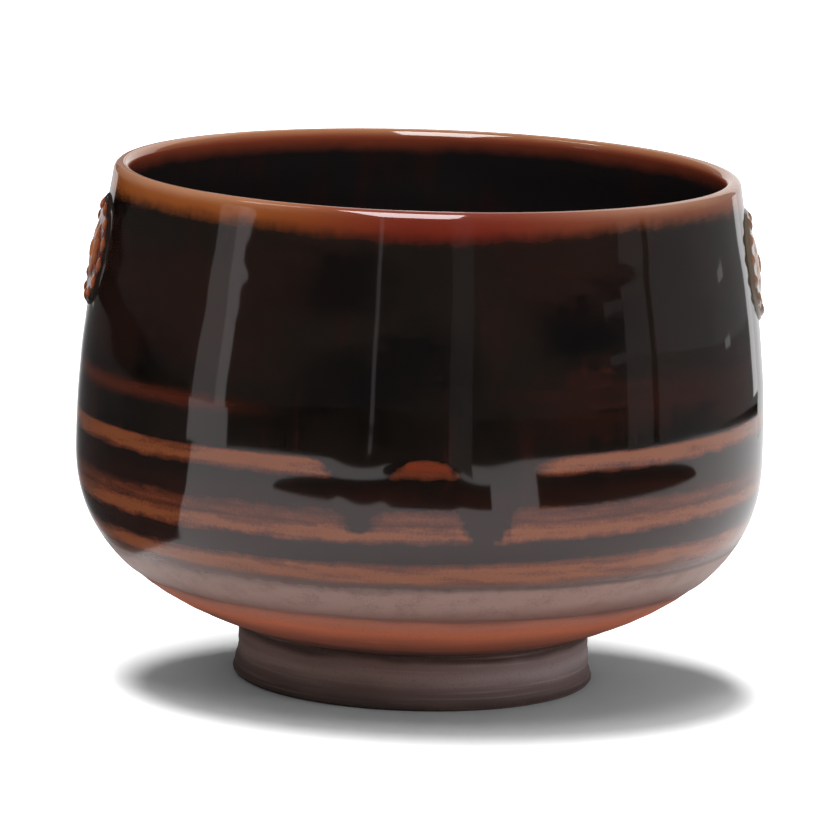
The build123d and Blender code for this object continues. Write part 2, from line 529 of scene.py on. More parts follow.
def drip_group() -> bpy.types.NodeTree:
    """Make the group that masks one run of glaze: a tongue with shoulders that narrows to a round tip.

    Returns:
        The group, with bearings and widths in degrees and heights in millimetres.
    """
    inputs = dict.fromkeys(("Height", "Bearing", "Middle", "Half Width", "Tip", "Length", "Blur"), 1.0)
    tree, bench, given, out = new_group("glaze_drip", inputs, ("Mask",))
    rise = bench.math("SUBTRACT", given["Height"], given["Tip"])
    share = bench.math("DIVIDE", rise, given["Length"], clamp=True)
    over = bench.math("SUBTRACT", given["Height"], SHOULDER_FROM)
    over = bench.math("DIVIDE", over, SHOULDER_RISE, clamp=True)
    width = bench.math("MULTIPLY", bench.math("POWER", share, DRIP_ROUNDNESS), given["Half Width"])
    width = bench.math("MULTIPLY_ADD", bench.math("MULTIPLY", over, over), SHOULDER, width)
    aside = bench.math("ABSOLUTE", bench.math("SUBTRACT", given["Bearing"], given["Middle"]))
    slack = bench.math("SUBTRACT", width, aside)
    across = bench.step(slack, bench.math("MULTIPLY", given["Blur"], -0.5), given["Blur"])
    bench.join(bench.math("MULTIPLY", across, bench.step(rise, *TIP_RISE)), out["Mask"])
    return tree


# Each grain of the fur: its name, how fine it is sideways and upwards, and the noise's detail.
GRAINS = (
    ("Ragged", 0.24, 0.5, 5.0),
    ("Streak", 0.2, 0.025, 3.0),
    ("Cloud", 0.07, 0.07, 2.0),
    ("Speck", 2.4, 2.4, 2.0),
    ("Brush", 0.09, 0.9, 3.0),
    ("Hair", 0.8, 0.12, 3.0),
)


def fur_group() -> bpy.types.NodeTree:
    """Make the group that gives the grain of a run glaze.

    Returns:
        The group, whose values lie around 0.
    """
    names = tuple(name for name, *_ in GRAINS)
    tree, bench, given, out = new_group("glaze_fur", {"Place": (0.0, 0.0, 0.0)}, names)
    for name, sides, up, detail in GRAINS:
        grain = bench.noise(bench.stretch(given["Place"], sides, up), detail)
        bench.join(bench.math("SUBTRACT", grain, 0.5), out[name])
    return tree


@dataclass
class Effects:
    """The shader node groups that the finishes share."""

    place: bpy.types.NodeTree = field(default_factory=place_group)
    band: bpy.types.NodeTree = field(default_factory=band_group)
    drip: bpy.types.NodeTree = field(default_factory=drip_group)
    fur: bpy.types.NodeTree = field(default_factory=fur_group)


class Surface:
    """A material in the making: its shader, and the place and the grain that its colours follow."""

    def __init__(self, name: str, effects: Effects, ior: float) -> None:
        """Start a material with one Principled shader.

        Args:
            name: The material's name.
            effects: The shared groups.
            ior: The shader's index of refraction.
        """
        self.material = bpy.data.materials.new(name)
        self.bench = bench_on(self.material)
        self.shader = self.bench.add("ShaderNodeBsdfPrincipled", {"IOR": ior})
        self.bench.show(self.shader)
        self.effects = effects
        self.place, self.height, self.bearing = self.bench.group(effects.place).outputs
        self.fur = self.bench.group(effects.fur, {"Place": self.place}).outputs

    def grain(self, **weights: float) -> Socket:
        """Add up grains of the fur.

        Args:
            weights: The weight of each grain, by its name in small letters.

        Returns:
            The sum.
        """
        total = 0.0
        for name, weight in weights.items():
            total = self.bench.math("MULTIPLY_ADD", self.fur[name.capitalize()], weight, total)
        return total

    def worn(self, mask: Socket, **weights: float) -> Socket:
        """Return a mask made stronger and weaker by its grain."""
        return self.bench.math("MULTIPLY_ADD", mask, self.grain(**weights), mask)

    def colour(self, colour: Socket, near_floor: bool = True) -> None:
        """Set the base colour.

        Args:
            colour: The colour.
            near_floor: Whether it turns grey for diffuse rays, so that it doesn't stain the white floor.
        """
        if near_floor:
            stain = self.bench.add("ShaderNodeLightPath").outputs["Is Diffuse Ray"]
            inputs = {"Saturation": self.bench.math("SUBTRACT", 1.0, stain), "Color": colour}
            colour = self.bench.add("ShaderNodeHueSaturation", inputs).outputs[0]
        self.bench.join(colour, self.shader.inputs["Base Color"])


# ------------------------------------------------------------------------------- finishes
Colour = tuple[float, float, float, float]
WHITE: Colour = (1.0, 1.0, 1.0, 1.0)
BLACK: Colour = (0.0, 0.0, 0.0, 1.0)


def tint(*display: float) -> Colour:
    """Turn display values into a linear colour.

    Args:
        display: Red, green and blue, from 0 to 255.

    Returns:
        The colour.
    """
    shares = [value / 255 for value in display]
    linear = [share / 12.92 if share <= 0.04045 else ((share + 0.055) / 1.055) ** 2.4 for share in shares]
    return (*linear, 1.0)


def as_inputs(sizes: object, **others: Socket) -> dict[str, object]:
    """Name a group's inputs after a dataclass's fields, so that half_width sets Half Width."""
    return {name.replace("_", " ").title(): value for name, value in {**vars(sizes), **others}.items()}


@dataclass(frozen=True)
class Band:
    """One band of the glaze, with heights, blurs and raggedness in millimetres."""

    low: float
    high: float
    low_blur: float = 1.0
    high_blur: float = 1.0
    low_rag: float = 0.0
    high_rag: float = 0.0
    strength: float = 1.0

    def mask(self, surface: Surface, height: Socket, ragged: Socket) -> Socket:
        """Place this band's mask at a height in millimetres, with edges that a value around 0 makes ragged."""
        inputs = as_inputs(self, height=height, ragged=ragged)
        return surface.bench.group(surface.effects.band, inputs).outputs[0]


@dataclass(frozen=True)
class Drip:
    """One run of dark glaze over the rust: its tip and length in millimetres, the rest in degrees."""

    middle: float
    half_width: float
    tip: float
    length: float = FULL_DRIP
    blur: float = 1.8

    def mask(self, surface: Surface, height: Socket, bearing: Socket) -> Socket:
        """Place this run's mask at a height in millimetres and a bearing in degrees."""
        inputs = as_inputs(self, height=height, bearing=bearing)
        return surface.bench.group(surface.effects.drip, inputs).outputs[0]


@dataclass(frozen=True)
class Flush:
    """A soft patch of another tone in the glaze: bearings in degrees, heights in millimetres."""

    middle: float
    half_width: float
    low: float
    high: float
    strength: float
    blur: float = 5.0

    def mask(self, surface: Surface, height: Socket, ragged: Socket) -> Socket:
        """Place this patch's mask.

        Args:
            surface: The material in the making.
            height: The height, in millimetres.
            ragged: A value around 0 that makes the edges ragged.

        Returns:
            The mask, scaled by the patch's strength.
        """
        bench = surface.bench
        fade = 2 * self.blur
        band = Band(self.low, self.high, self.blur, self.blur, fade, fade, self.strength)
        across = bench.math("ABSOLUTE", bench.math("SUBTRACT", surface.bearing, self.middle))
        across = bench.math("MULTIPLY_ADD", ragged, 2 * fade, across)
        inside = bench.step(across, self.half_width + fade, self.half_width - fade)
        return bench.math("MULTIPLY", band.mask(surface, height, ragged), inside)


@dataclass(frozen=True)
class IronGlaze:
    """Brown-black iron glaze: rust where it is thin, black where it runs, dull over the foot.

    A pair named after heights or bearings is where a change starts and where it is complete.
    """

    deep: Colour = tint(7, 7, 8)
    black: Colour = tint(19, 16, 14)
    olive: Colour = tint(29, 23, 19)
    brown: Colour = tint(47, 25, 20)
    rust: Colour = tint(94, 48, 33)
    hair_rust: Colour = tint(104, 44, 27)
    amber: Colour = tint(134, 75, 45)
    front_amber: Colour = tint(124, 54, 34)
    # The rim's amber at the left and its muted tone at the right are partly the glaze's own colour and partly
    # painted reflection.
    rim_red: Colour = tint(124, 46, 32)
    rim_left: Colour = tint(166, 94, 46)
    rim_right: Colour = tint(144, 86, 62)
    rim_shade: Colour = tint(218, 206, 200)
    # The pale crest is partly the glaze's own colour and partly painted reflection, strongest towards the
    # sides.
    crest: Colour = tint(178, 152, 132)
    # The dull band's pale pink is partly the matte glaze's colour and partly painted reflection of the floor.
    dull: Colour = tint(146, 114, 104)
    dull_dark: Colour = tint(124, 92, 82)
    line: Colour = tint(104, 58, 44)
    # A thin dark line along the top of the dull band.
    groove: Colour = tint(80, 56, 49)
    sheen: Colour = (1.0, 0.93, 0.95, 1.0)
    gloss: float = 0.05
    low_gloss: float = 0.17
    low_gloss_heights: Pair = (35.0, 27.0)
    dull_roughness: float = 0.42
    ior: float = 1.6
    band_tilt: float = 0.024

    olive_mottle: Pair = (-0.14, 0.2)
    olive_heights: Pair = (42.0, 60.0)
    olive_share: float = 0.12
    brown_streaks: Pair = (0.08, 0.3)
    # Patches have a bearing and a half width, a low and a high edge, a strength and a blur.
    flushes: tuple[Flush, ...] = (
        Flush(52.0, 34.0, 51.0, 60.0, 0.7),
        Flush(22.0, 12.0, 70.0, 84.0, 0.4),
        Flush(-27.0, 12.0, 72.0, 84.0, 0.4),
        Flush(-52.0, 24.0, 60.0, 80.0, 0.4),
        Flush(-132.0, 30.0, 56.0, 80.0, 0.5),
        Flush(140.0, 24.0, 50.0, 72.0, 0.6),
    )
    pools: tuple[Flush, ...] = (
        Flush(-17.0, 8.0, 71.0, 81.0, 0.75, 4.0),
        Flush(-9.0, 8.0, 51.0, 67.0, 0.75, 4.5),
        Flush(23.0, 7.0, 64.0, 74.0, 0.75, 4.0),
        Flush(176.0, 14.0, 58.0, 78.0, 0.7, 4.0),
        Flush(-158.0, 10.0, 66.0, 82.0, 0.7, 4.0),
    )
    lower: Band = Band(BELOW, 43.0, 1.0, 4.0, 0.0, 4.0, 0.6)

    # Bands have a low and a high edge, the blur and the raggedness of each, and a strength.
    hairline: Band = Band(54.4, 56.2, 2.4, 2.4, 1.2, 1.2, 0.6)
    hairline_start: Pair = (-88.0, -84.0)
    hairline_end: Pair = (-24.0, -48.0)
    runs: tuple[Band, ...] = (
        Band(45.3, 48.0, 2.4, 1.0, 1.4, 0.4),
        Band(34.4, 37.2, 2.0, 2.6, 1.6, 1.2, 0.95),
        Band(36.8, 39.8, 2.4, 3.0, 1.2, 2.0, 0.5),
        Band(26.7, 30.3, 3.0, 2.4, 0.8, 1.2, 0.95),
    )
    # Drips have a bearing, a half width and the height of the tip, and where they differ a length and a blur.
    drips: tuple[Drip, ...] = (
        Drip(-12.0, 5.0, 35.6),
        Drip(8.2, 5.0, 32.8),
        Drip(14.0, 3.4, 43.8, 2.4, 4.5),
        Drip(-104.0, 4.0, 36.0),
        Drip(-141.0, 5.5, 34.5),
        Drip(-171.0, 3.6, 37.0),
        Drip(118.0, 4.4, 36.5),
        Drip(152.0, 5.0, 33.5),
    )
    drip_wander: float = 5.0
    front_bearings: Pair = (22.0, 8.0)
    front_heights: Pair = (42.0, 45.0)
    rust_thinness: Pair = (0.0, 0.6)
    amber_thinness: Pair = (0.45, 1.0)
    cover_thinness: Pair = (0.0, 0.2)

    rim: Band = Band(83.5, ABOVE, 2.8, 1.0, 1.7)
    rim_rise: Pair = (0.9, 1.5)
    rim_shade_heights: Pair = (83.6, 86.4)
    lip: Band = Band(86.8, ABOVE, 1.6, 1.0, 0.4)
    right_bearings: Pair = (-5.0, 5.0)
    amber_bearings: Pair = (4.0, 44.0)
    crest_share: Pair = (0.06, 0.34)
    crest_bearings: Pair = (12.0, 50.0)

    dull_band: Band = Band(BELOW, 25.9, 1.0, 3.0, 0.0, 0.8)
    dark_line: Band = Band(25.9, 26.7, 0.8, 0.8, 0.4, 0.4, 0.9)
    foot_line: Band = Band(BELOW, 20.6, 1.0, 4.4, 0.0, 0.3)
    dull_patches: Pair = (-0.1, 0.35)

    def wall(self, surface: Surface, height: Socket) -> Socket:
        """Mix the colour of the wall: black and olive, with brown flushes and darker pools.

        Args:
            surface: The material in the making.
            height: The height that follows the bands' tilt, in millimetres.

        Returns:
            The colour.
        """
        bench = surface.bench
        upper = bench.step(height, *self.olive_heights)
        mottle = bench.math("MULTIPLY_ADD", upper, self.olive_share, surface.grain(cloud=1.0, speck=0.6))
        colour = bench.mix(bench.step(mottle, *self.olive_mottle), self.black, self.olive)
        flush = bench.step(surface.grain(streak=1.0, speck=0.5), *self.brown_streaks)
        ragged = surface.grain(ragged=1.0, hair=0.4, cloud=1.0)
        for patch in (*self.flushes, self.lower):
            flush = bench.math("MAXIMUM", flush, patch.mask(surface, height, ragged))
        colour = bench.mix(surface.worn(flush, speck=1.6, brush=2.24), colour, self.brown)
        for pool in self.pools:
            colour = bench.mix(pool.mask(surface, height, ragged), colour, self.deep)
        return colour

    def banded(self, surface: Surface, colour: Socket, height: Socket, ragged: Socket) -> Socket:
        """Lay the brushed rust bands over a colour, with the runs of dark glaze over the bands.

        Args:
            surface: The material in the making.
            colour: The colour below.
            height: The height that follows the bands' tilt, in millimetres.
            ragged: A value around 0 that makes the edges ragged.

        Returns:
            The colour.
        """
        bench = surface.bench
        hairline = self.hairline.mask(surface, height, ragged)
        for bearings in (self.hairline_start, self.hairline_end):
            hairline = bench.math("MULTIPLY", hairline, bench.step(surface.bearing, *bearings))
        colour = bench.mix(hairline, colour, self.hair_rust)
        thinness = 0.0
        for band in self.runs:
            thinness = bench.math("MAXIMUM", thinness, band.mask(surface, height, ragged))
        wander = bench.math("MULTIPLY_ADD", ragged, self.drip_wander, surface.bearing)
        for drip in self.drips:
            left = bench.math("SUBTRACT", 1.0, drip.mask(surface, height, wander))
            thinness = bench.math("MULTIPLY", thinness, left)
        thinness = surface.worn(surface.worn(thinness, speck=0.8), brush=1.7)
        front = bench.step(bench.math("ABSOLUTE", surface.bearing), *self.front_bearings)
        front = bench.math("MULTIPLY", front, bench.step(height, *self.front_heights))
        amber = bench.mix(front, self.amber, self.front_amber)
        thin = bench.mix(bench.step(thinness, *self.rust_thinness), self.black, self.rust)
        thin = bench.mix(bench.step(thinness, *self.amber_thinness), thin, amber)
        return bench.mix(bench.step(thinness, *self.cover_thinness), colour, thin)

    def rimmed(self, surface: Surface, colour: Socket, ragged: Socket) -> Socket:
        """Lay the rust of the rim and the lip's pale crest, partly painted reflection, over a colour.

        Args:
            surface: The material in the making.
            colour: The colour below.
            ragged: A value around 0 that makes the edges ragged.

        Returns:
            The colour.
        """
        bench = surface.bench
        aside = bench.math("ABSOLUTE", surface.bearing)
        to_right = bench.step(surface.bearing, *self.right_bearings)
        swing = bench.math("SINE", bench.math("MULTIPLY", bench.math("RADIANS", surface.bearing), 2.0))
        swing = bench.math("MULTIPLY", swing, swing)
        rise = bench.math("MULTIPLY", swing, bench.blend(to_right, *self.rim_rise))
        level = bench.math("SUBTRACT", surface.height, rise)
        # Side tones of the rim: partly painted reflection.
        amber = bench.mix(to_right, self.rim_left, self.rim_right)
        rust = bench.mix(bench.step(aside, *self.amber_bearings), self.rim_red, amber)
        # The crest's share grows towards the sides, where it is partly painted reflection.
        share = bench.blend(bench.step(aside, *self.crest_bearings), *self.crest_share)
        crest = bench.mix(share, rust, self.crest)
        shaded = bench.mix(1.0, rust, self.rim_shade, "MULTIPLY")
        rust = bench.mix(bench.step(level, *self.rim_shade_heights), shaded, rust)
        furry = surface.grain(ragged=1.0, hair=0.5, cloud=1.0)
        colour = bench.mix(self.rim.mask(surface, level, furry), colour, rust)
        return bench.mix(self.lip.mask(surface, surface.height, ragged), colour, crest)

    def material(self, effects: Effects) -> bpy.types.Material:
        """Build the material.

        Args:
            effects: The shared groups.

        Returns:
            The material.
        """
        surface = Surface("iron_glaze", effects, self.ior)
        bench = surface.bench
        across = bench.add("ShaderNodeSeparateXYZ", {0: surface.place}).outputs["X"]
        height = bench.math("MULTIPLY_ADD", across, -self.band_tilt, surface.height)
        ragged = surface.grain(ragged=1.0, hair=0.4)
        colour = self.banded(surface, self.wall(surface, height), height, ragged)
        colour = self.rimmed(surface, colour, ragged)
        dull = self.dull_band.mask(surface, height, ragged)
        patches = bench.step(surface.grain(ragged=1.0, hair=0.4, speck=0.6), *self.dull_patches)
        # The dull band's pale pink: partly painted reflection of the floor.
        colour = bench.mix(dull, colour, bench.mix(patches, self.dull, self.dull_dark))
        colour = bench.mix(self.dark_line.mask(surface, surface.height, ragged), colour, self.groove)
        surface.colour(bench.mix(self.foot_line.mask(surface, height, ragged), colour, self.line))
        satin = bench.blend(bench.step(surface.height, *self.low_gloss_heights), self.gloss, self.low_gloss)
        bench.join(bench.blend(dull, satin, self.dull_roughness), surface.shader.inputs["Roughness"])
        bench.join(self.sheen, surface.shader.inputs["Specular Tint"])
        return surface.material


@dataclass(frozen=True)
class LinerGlaze:
    """The same glaze on the inside: rust on the lip, black below."""

    # The inside's black and brown are lighter and greyer than the outer glaze's: partly painted reflection, a
    # haze.
    black: Colour = tint(42, 37, 38)
    brown: Colour = tint(52, 37, 35)
    brown_mottle: Pair = (-0.05, 0.3)
    rust: Colour = tint(166, 80, 56)
    amber: Colour = tint(160, 106, 74)
    gloss: float = 0.06
    floor_roughness: float = 0.4
    gloss_heights: Pair = (35.0, 50.0)
    ior: float = 1.6
    rim: Band = Band(84.8, ABOVE, 3.0, 1.0, 1.0)
    lip: Band = Band(86.9, ABOVE, 1.0, 1.0, 0.4)

    def material(self, effects: Effects) -> bpy.types.Material:
        """Build the material.

        Args:
            effects: The shared groups.

        Returns:
            The material.
        """
        surface = Surface("liner_glaze", effects, self.ior)
        bench = surface.bench
        mottle = bench.step(surface.grain(cloud=1.0, streak=0.8), *self.brown_mottle)
        colour = bench.mix(mottle, self.black, self.brown)
        ragged = surface.grain(ragged=1.0, cloud=1.0)
        for band, shade in ((self.rim, self.rust), (self.lip, self.amber)):
            colour = bench.mix(band.mask(surface, surface.height, ragged), colour, shade)
        surface.colour(colour, near_floor=False)
        rise = bench.step(surface.height, *self.gloss_heights)
        bench.join(bench.blend(rise, self.floor_roughness, self.gloss), surface.shader.inputs["Roughness"])
        return surface.material


@dataclass(frozen=True)
class MedallionGlaze:
    """Glaze over relief: amber on what stands out, black in the hollows, paler at the right by painted
    reflection.
    """

    black: Colour = tint(38, 27, 23)
    rust: Colour = tint(128, 60, 34)
    amber: Colour = tint(176, 106, 66)
    # The pale tone, mixed in towards the right, is painted reflection of the bright backdrop.
    pale: Colour = tint(136, 118, 100)
    rust_relief: Pair = (0.05, 0.45)
    amber_relief: Pair = (0.4, 0.95)
    pale_bearings: Pair = (-10.0, 10.0)
    pale_share: float = 0.5
    gloss: float = 0.13
    ior: float = 1.5

    def material(self, effects: Effects) -> bpy.types.Material:
        """Build the material.

        Args:
            effects: The shared groups.

        Returns:
            The material.
        """
        surface = Surface("medallion_glaze", effects, self.ior)
        bench = surface.bench
        relief = bench.add("ShaderNodeAttribute", attribute_name="relief").outputs["Fac"]
        level = bench.math("ADD", relief, surface.grain(speck=0.2))
        colour = bench.mix(bench.step(level, *self.rust_relief), self.black, self.rust)
        colour = bench.mix(bench.step(level, *self.amber_relief), colour, self.amber)
        # Painted reflection: paler towards the right.
        pale = bench.math("MULTIPLY", bench.step(surface.bearing, *self.pale_bearings), self.pale_share)
        surface.colour(bench.mix(pale, colour, self.pale), near_floor=False)
        bench.join(self.gloss, surface.shader.inputs["Roughness"])
        return surface.material


@dataclass(frozen=True)
class BareClay:
    """Bare fired clay, coloured by its height and by the turning tool's lines.

    The stops are heights in millimetres, going up, with the colour at each, and their darker ends are painted
    shade.
    The left shade and the right light are painted: they multiply the colour towards the two ends of their
    bearings.
    """

    name: str
    stops: tuple[tuple[float, Colour], ...]
    pale: Colour
    speck: Colour
    grain: float = 0.05 * MM
    roughness: float = 0.72
    ior: float = 1.5
    cloudiness: float = 2.0
    line_stretch: Pair = (0.03, 1.6)
    line_levels: Pair = (0.5, 0.75)
    line_share: float = 0.4
    line_relief: float = 0.8
    speck_levels: Pair = (0.05, 0.3)
    speck_share: float = 0.5
    # Painted shade at the left and painted light at the right, by bearing.
    left_cast: Colour = WHITE
    right_cast: Colour = WHITE
    cast_bearings: Pair = (-20.0, 60.0)

    def material(self, effects: Effects) -> bpy.types.Material:
        """Build the material.

        Args:
            effects: The shared groups.

        Returns:
            The material.
        """
        surface = Surface(self.name, effects, self.ior)
        bench = surface.bench
        level = bench.math("ADD", surface.height, surface.grain(cloud=self.cloudiness))
        low, colour = self.stops[0]
        for high, shade in self.stops[1:]:
            colour = bench.mix(bench.step(level, low, high), colour, shade)
            low = high
        lines = bench.noise(bench.stretch(surface.place, *self.line_stretch))
        speck = surface.grain(speck=1.0)
        pale = bench.math("MULTIPLY", bench.step(lines, *self.line_levels), self.line_share)
        colour = bench.mix(pale, colour, self.pale)
        dark = bench.math("MULTIPLY", bench.step(speck, *self.speck_levels), self.speck_share)
        colour = bench.mix(dark, colour, self.speck)
        # Painted shade at the left and painted light at the right.
        side_light = bench.mix(bench.step(surface.bearing, *self.cast_bearings), self.left_cast, self.right_cast)
        surface.colour(bench.mix(1.0, colour, side_light, "MULTIPLY"))
        bench.join(self.roughness, surface.shader.inputs["Roughness"])
        coarse = bench.math("MULTIPLY_ADD", lines, self.line_relief, speck)
        grain = bench.add("ShaderNodeBump", {"Strength": 1.0, "Distance": self.grain, "Height": coarse})
        bench.join(grain.outputs[0], surface.shader.inputs["Normal"])
        return surface.material


RED_CLAY = BareClay(
    "red_clay",
    # Dark brown towards the foot is painted shade under the haunch; the darker top stop, just under the glaze
    # line, is partly painted shadow of the glaze's edge.
    stops=(
        (9.2, tint(50, 28, 24)),
        (10.8, tint(98, 49, 36)),
        (12.8, tint(142, 70, 46)),
        (16.2, tint(184, 96, 62)),
        (18.0, tint(166, 98, 76)),
        (19.6, tint(120, 72, 60)),
    ),
    pale=tint(176, 100, 70),
    speck=tint(112, 56, 40),
)
GREY_CLAY = BareClay(
    "grey_clay",
    # The dark top and bottom stops are painted shade: under the haunch, and where the ring meets the floor.
    stops=(
        (0.4, tint(70, 55, 51)),
        (2.6, tint(104, 88, 86)),
        (5.4, tint(142, 127, 127)),
        (7.2, tint(124, 106, 104)),
        (8.8, tint(62, 42, 36)),
    ),
    pale=tint(156, 142, 142),
    speck=tint(100, 84, 80),
    grain=0.1 * MM,
    roughness=0.85,
    # Painted light: darker and warmer at the left, brighter at the right.
    left_cast=(0.94, 0.72, 0.62, 1.0),
    right_cast=(1.3, 1.26, 1.27, 1.0),
)


# ------------------------------------------------------------------------------- sub-assemblies
def dress(piece: bpy.types.Object, node: str, slot: str, material: bpy.types.Material) -> None:
    """Give a piece its finish, and tie it to the frame.

    Args:
        piece: The piece.
        node: The CAD node that it replaces.
        slot: Its slot.
        material: Its finish.
    """
    piece.data.materials.append(material)
    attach(piece, "root")
    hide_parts(node)
    log.info("%s: %d faces, for %s in %s", piece.name, len(piece.data.polygons), node, slot)


@dataclass(frozen=True)
class Wave:
    """One wave of a thrown wall, running round it and up it."""

    depth: float
    lobes: int
    pitch: float = math.inf
    start: float = 0.0

    def lift(self, bearing: np.ndarray, height: np.ndarray) -> np.ndarray:
        """Return how far this wave stands out at each place."""
        return self.depth * np.sin(self.lobes * bearing + 2 * math.pi * height / self.pitch + self.start)


@dataclass(frozen=True)
class Throwing:
    """The unevenness that the hands leave on a thrown wall, fading out at two heights."""

    waves: tuple[Wave, ...]
    bottom: float
    top: float
    fade: float = 6 * MM

    def __call__(self, bearing: np.ndarray, height: np.ndarray) -> np.ndarray:
        """Find how far the wall stands out.

        Args:
            bearing: The places' bearings, in radians.
            height: Their heights, in metres.

        Returns:
            The relief at each place.
        """
        share = eased(height, self.bottom, self.bottom + self.fade)
        share = share * eased(height, self.top, self.top - self.fade)
        return share * sum(wave.lift(bearing, height) for wave in self.waves)


@dataclass(frozen=True)
class ClayBody:
    """The bare thrown body, seen between the glaze line and the foot and inside the foot ring."""

    outline: Outline
    foot_inner_radius: float = 24.6 * MM
    recess_dome: float = 0.9 * MM
    dome_shares: Pair = (0.7, 0.4)
    tokin_radius: float = 3.2 * MM
    tokin_height: float = 1.2 * MM
    sides: int = 256
    inside_step: float = 1.5 * MM
    outside_step: float = 0.5 * MM
    underside_step: float = 0.8 * MM
    tool_lines: tuple[Wave, ...] = (
        Wave(0.02 * MM, 1, 1.9 * MM),
        Wave(0.012 * MM, 3, 1.197 * MM, 1.0),
    )
    lines_from: float = 0.5 * MM
    lines_past_glaze: float = 1.5 * MM
    lines_fade: float = 1.5 * MM

    def underside(self) -> np.ndarray:
        """Trace the trimmed underside from the foot's seat in to the tokin, the small cone in the middle.

        Returns:
            The (radius, height) points.
        """
        seat = self.outline.foot_height
        ceiling = seat + self.recess_dome
        tip = ceiling - self.tokin_height
        outer, inner = (self.foot_inner_radius * share for share in self.dome_shares)
        foot = (self.foot_inner_radius, seat)
        edge = (self.tokin_radius, ceiling)
        middle = self.tokin_radius / 2
        dome = bezier([foot, (outer, ceiling), (inner, ceiling), edge])
        tokin = bezier([edge, (middle, ceiling), (middle, tip), (0.0, tip)])
        return np.vstack([dome, tokin[1:]])

    def build(self, finish: BareClay, effects: Effects) -> bpy.types.Object:
        """Build the body as one closed mesh.

        Args:
            finish: The clay's finish.
            effects: The shared shader groups.

        Returns:
            The piece.
        """
        inside = evenly(self.outline.inside(0.0)[::-1], self.inside_step)
        outside = evenly(self.outline.outside(0.0), self.outside_step)
        section = np.vstack([inside, outside[1:], evenly(self.underside(), self.underside_step)])
        section[0, 0] = section[-1, 0] = 0.0
        lines = Throwing(
            self.tool_lines,
            bottom=self.outline.foot_height + self.lines_from,
            top=self.outline.glaze_line + self.lines_past_glaze,
            fade=self.lines_fade,
        )
        piece = turned("clay_body", section, self.sides, lines)
        dress(piece, "clay_bowl", "red_clay", finish.material(effects))
        return piece


@dataclass(frozen=True)
class FootRing:
    """The turned foot ring."""

    outline: Outline
    base_radius: float = 31.0 * MM
    hollow: float = 0.6 * MM
    inner_radius: float = 24.6 * MM
    draft: float = 0.8 * MM
    hollow_shares: Pair = (0.7, 0.35)
    edge_round: float = 0.8 * MM
    edge_inset: float = 0.04 * MM
    edge_steps: int = 9
    step: float = 0.35 * MM
    sides: int = 320
    wear: tuple[Wave, ...] = (
        Wave(0.05 * MM, 5, 4.1 * MM),
        Wave(0.05 * MM, 9, 7 * MM, 2.0),
        Wave(0.04 * MM, 1, 1.7 * MM),
    )
    wear_from: float = 0.3 * MM
    wear_fade: float = 1.0 * MM

    def section(self) -> np.ndarray:
        """Trace the ring clockwise from the outer edge of its seat.

        Returns:
            The (radius, height) points.
        """
        seat = self.outline.foot_height
        waist = self.outline.foot_waist_radius
        turned_in = (waist + self.base_radius) / 2 - self.hollow
        edge = self.edge_round
        base = self.base_radius - self.edge_inset
        mouth = self.inner_radius + self.draft
        upper, lower = (seat * share for share in self.hollow_shares)
        outer = bezier([(waist, seat), (turned_in, upper), (turned_in, lower), (base, edge)])
        turn = np.linspace(0.0, math.pi / 2, self.edge_steps)[1:]
        across = edge * (1 - np.cos(turn))
        down = edge * (1 - np.sin(turn))
        outer_edge = np.column_stack([base - across, down])
        inner_edge = np.column_stack([mouth + down, across])
        inner = np.array([[self.inner_radius, seat], [waist, seat]])
        return evenly(np.vstack([outer, outer_edge, inner_edge, inner]), self.step)[:-1]

    def build(self, finish: BareClay, effects: Effects) -> bpy.types.Object:
        """Build the ring.

        Args:
            finish: The clay's finish.
            effects: The shared shader groups.

        Returns:
            The piece.
        """
        wear = Throwing(self.wear, bottom=self.wear_from, top=self.outline.foot_height, fade=self.wear_fade)
        piece = turned("foot_ring_turned", self.section(), self.sides, wear)
        dress(piece, "foot_ring", "grey_clay", finish.material(effects))
        return piece


